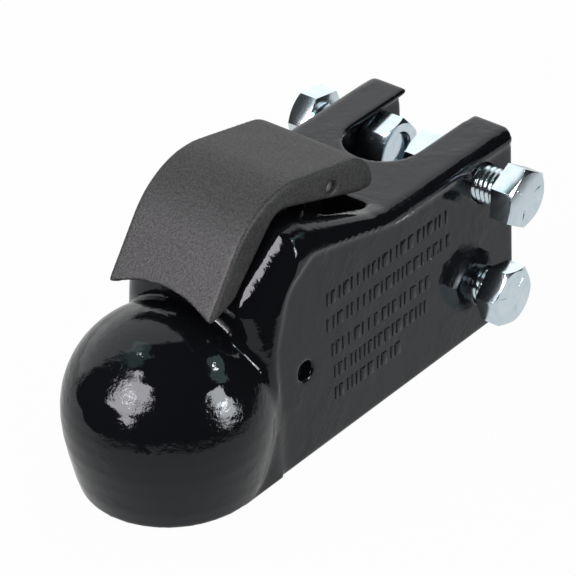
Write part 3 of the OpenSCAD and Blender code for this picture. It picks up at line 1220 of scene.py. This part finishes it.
FRONT: Triple = (-0.08, -0.73, 0.45)
SIDE: Triple = (0.93, 0.16, 0.24)
LAMPS = (
    Lamp("front_box", FRONT, (0.56, 0.72), 12.0, turn=-24, colour=(1, 0.94, 0.97)),
    Lamp("front_bulb", FRONT, (0.11, 0.11), 30.0, away=0.9),
    Lamp("side_box", SIDE, (0.32, 0.60), 12.0, turn=8),
    Lamp("side_bulb", SIDE, (0.09, 0.09), 30.0, away=0.9),
    Lamp("front_rig", (-0.35, -0.29, 0.89), (0.42, 0.36), 0.8, turn=15, colour=(0.65, 1, 0.95)),
    Lamp("side_rig", (0.62, 0.40, 0.66), (0.42, 0.30), 1.4, turn=40, colour=(0.65, 1, 0.95)),
    Lamp("rig_glint", (-0.33, -0.27, 0.90), (0.05, 0.03), 60.0),
    Lamp("side_glint", (0.60, 0.38, 0.70), (0.05, 0.03), 60.0),
    Lamp("key_light", (-0.45, -0.45, 0.9), (0.6, 0.6), 1.7, only_gloss=False),
)


@dataclass
class Studio:
    """Floor, lights and the camera at the photograph's angle.

    Attributes:
        target: The point that the camera and the lamps look at.
        azimuth: Where the camera stands, in degrees round from the nose.
        elevation: How high it stands, in degrees.
        roll: How far it leans, in degrees.
        distance: How far it stands from the target.
        focal_pixels: Its focal length in pixels.
        centre_pixels: Where its axis meets the picture.
        frame_pixels: The width and the height of the picture.
        sensor: The width of its sensor in millimetres.
        clip: How far it sees.
        floor_z: The height of the floor.
        floor_size: The width of the floor.
        floor_white: How much of what the camera sees of the floor is plain white.
        paint: The colour of the floor in the light of the lamps.
        table_right: Where the table that is mirrored ends on the right.
        table_front: Where it ends in front.
        table_fade: How soft its two edges are.
        table: How bright it is.
        wall_way: The direction of the middle of the mirrored wall.
        wall_from: Where the edge of the wall starts, as the cosine of the angle from its middle.
        wall_to: Where the wall is full.
        wall: How bright it is.
        fill: How bright the room lights.
        dark: How bright the rest of the room is mirrored.
        lamps: The lamps.
    """

    target: Vector = field(default_factory=lambda: Vector((-3.331, 81.70, 10.70)) * MM)
    azimuth: float = 41.212
    elevation: float = 33.345
    roll: float = -2.683
    distance: float = 1482.67 * MM
    focal_pixels: float = 3617.5
    centre_pixels: tuple[float, float] = (293.43, 287.76)
    frame_pixels: int = 576
    sensor: float = 36.0
    clip: float = 10.0
    floor_z: float = -33 * MM
    floor_size: float = 6.0
    floor_white: float = 0.97
    paint: Colour = (0.86, 0.86, 0.86, 1)
    table_right: float = 150 * MM
    table_front: float = -170 * MM
    table_fade: float = 12 * MM
    table: float = 0.70
    wall_way: Triple = (-0.707, 0.616, 0.345)
    wall_from: float = 0.50
    wall_to: float = 0.60
    wall: float = 1.5
    fill: float = 0.75
    dark: float = 0.012
    lamps: tuple[Lamp, ...] = LAMPS

    def build(self) -> None:
        """Set up the whole studio."""
        self.camera()
        self.floor()
        self.world()
        for lamp in self.lamps:
            lamp.hang(self.target)
        bpy.context.scene.view_settings.view_transform = "Standard"

    def camera(self) -> None:
        """Place the camera."""
        az, el, roll = (math.radians(a) for a in (self.azimuth, self.elevation, self.roll))
        back = Vector((math.sin(az) * math.cos(el), -math.cos(az) * math.cos(el), math.sin(el)))
        flat = Vector((math.cos(az), math.sin(az), 0))
        high = back.cross(flat)
        right = flat * math.cos(roll) + high * math.sin(roll)
        up = high * math.cos(roll) - flat * math.sin(roll)
        data = bpy.data.cameras.new("photo_camera")
        data.sensor_width = self.sensor
        data.lens = self.focal_pixels / self.frame_pixels * self.sensor
        half = self.frame_pixels / 2
        data.shift_x = -(self.centre_pixels[0] - half) / self.frame_pixels
        data.shift_y = (self.centre_pixels[1] - half) / self.frame_pixels
        data.clip_end = self.clip
        camera = bpy.data.objects.new("photo_camera", data)
        turn = Matrix((right, up, back)).transposed().to_4x4()
        camera.matrix_world = Matrix.Translation(self.target + back * self.distance) @ turn
        bpy.context.scene.collection.objects.link(camera)
        bpy.context.scene.camera = camera

    def floor(self) -> None:
        """Lay the pale floor."""
        deselect_all()
        bpy.ops.mesh.primitive_plane_add(size=self.floor_size, location=(0, 0, self.floor_z))
        floor = bpy.context.object
        floor.name = "floor"
        dress(floor, self.floor_finish())

    def floor_finish(self) -> bpy.types.Material:
        """Make the floor white to the camera, clear from below and mirrored as a table with two edges.

        Returns:
            The material.
        """
        sheet = Sheet.named("floor_white")
        direct = sheet.node("ShaderNodeLightPath", {}, {}, "Is Camera Ray")
        gloss = direct.beside("Is Glossy Ray")
        along = sheet.node("ShaderNodeSeparateXYZ", {}, {"Vector": sheet.place}, "X")
        right = 1 - along.step(self.table_right, self.table_right + self.table_fade)
        front = along.beside("Y").step(self.table_front - self.table_fade, self.table_front)
        table = right * front * (self.table - self.dark) + self.dark
        white, mirrored = (
            sheet.node("ShaderNodeEmission", {}, {"Color": WHITE, "Strength": strength})
            for strength in (1.0, table)
        )
        paint = sheet.node("ShaderNodeBsdfDiffuse", {}, {"Color": self.paint})
        above = sheet.mix(gloss, sheet.mix(direct * self.floor_white, paint, white), mirrored)
        below = sheet.node("ShaderNodeNewGeometry", {}, {}, "Backfacing")
        clear = sheet.node("ShaderNodeBsdfTransparent", {}, {})
        return sheet.finish(sheet.mix(below, above, clear))

    def world(self) -> None:
        """Fill the room with soft light that mirrors as a white wall in a dark room."""
        world = bpy.data.worlds.new("studio")
        bpy.context.scene.world = world
        sheet = Sheet(world, "ShaderNodeOutputWorld", "Generated")
        direct = sheet.node("ShaderNodeLightPath", {}, {}, "Is Camera Ray")
        gloss = direct.beside("Is Glossy Ray")
        lean = sheet.node(
            "ShaderNodeVectorMath", {"operation": "DOT_PRODUCT"}, {0: sheet.place, 1: self.wall_way},
            "Value",
        )
        mirrored = lean.step(self.wall_from, self.wall_to) * (self.wall - self.dark) + self.dark
        lit = self.fill + gloss * (mirrored - self.fill)
        strength = lit + direct * (1 - lit)
        sheet.finish(sheet.node("ShaderNodeBackground", {}, {"Strength": strength}))


def main() -> None:
    """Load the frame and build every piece."""
    logging.basicConfig(level=logging.INFO, format="%(message)s")
    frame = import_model()
    nodes = frame["nodes"]
    enamel = CastEnamel().build()
    plastic = GrainedPlastic().build()
    zinc = ZincPlate().build()
    steel = BareSteel().build()
    Studio().build()
    pieces = [CastHousing(nodes, enamel).build(), HandleCover(nodes, plastic).build()]
    pieces += Latch(nodes, zinc, steel).build()
    pieces += Fasteners(nodes, zinc).build()
    for piece in pieces:
        log.info("%s: %d faces", piece.name, len(piece.data.polygons))
    deselect_all()


if __name__ == "__main__":
    main()
